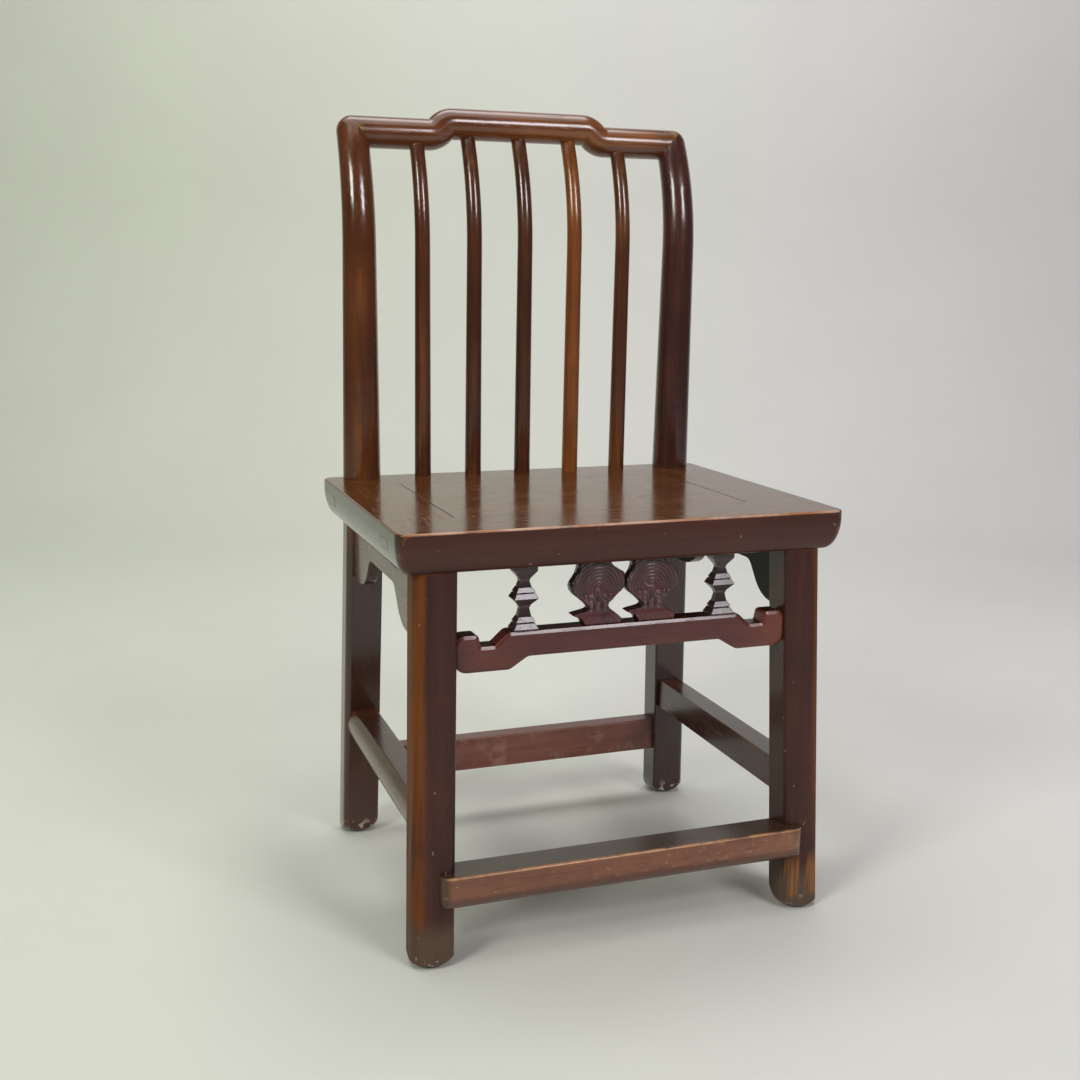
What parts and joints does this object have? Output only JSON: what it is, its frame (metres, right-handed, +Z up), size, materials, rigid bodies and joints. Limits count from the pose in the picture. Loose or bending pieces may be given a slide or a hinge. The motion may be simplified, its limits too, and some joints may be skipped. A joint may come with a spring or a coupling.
{
  "type": "side chair",
  "caption": "Joined hardwood side chair: comb back of slim bent rods under a humped crest rail, framed panel seat, stepped front rail with carved struts, low stretchers and a foot rest.",
  "frame": {"origin": "the middle of the footprint, on the floor", "axes": "+Z up, +Y to the rear so that the front faces -Y, +X to the right as seen from the front"},
  "size_m": [0.5, 0.4194, 0.905],
  "materials": {
    "frame_wood": "dark red-brown hardwood, waxed, worn orange on the arrises",
    "seat_wood": "the same hardwood, polished by use, with grain from side to side",
    "carved_wood": "the same hardwood, darker in the hollows of the carving"
  },
  "bodies": {
    "root": {"back_apron": "frame_wood", "back_leg_left": "frame_wood", "back_leg_right": "frame_wood", "back_stretcher": "frame_wood", "baluster_left": "carved_wood", "baluster_right": "carved_wood", "blossom_strut_left": "carved_wood", "blossom_strut_right": "carved_wood", "crest_rail": "frame_wood", "foot_rest": "frame_wood", "front_leg_left": "frame_wood", "front_leg_right": "frame_wood", "hump_stretcher": "frame_wood", "seat_back_rail": "seat_wood", "seat_batten_left": "seat_wood", "seat_batten_right": "seat_wood", "seat_front_rail": "seat_wood", "seat_panel": "seat_wood", "seat_side_rail_left": "seat_wood", "seat_side_rail_right": "seat_wood", "side_apron_left": "frame_wood", "side_apron_right": "frame_wood", "side_stretcher_left": "frame_wood", "side_stretcher_right": "frame_wood", "spindle_1": "frame_wood", "spindle_2": "frame_wood", "spindle_3": "frame_wood", "spindle_4": "frame_wood", "spindle_5": "frame_wood"}
  },
  "joints": []
}
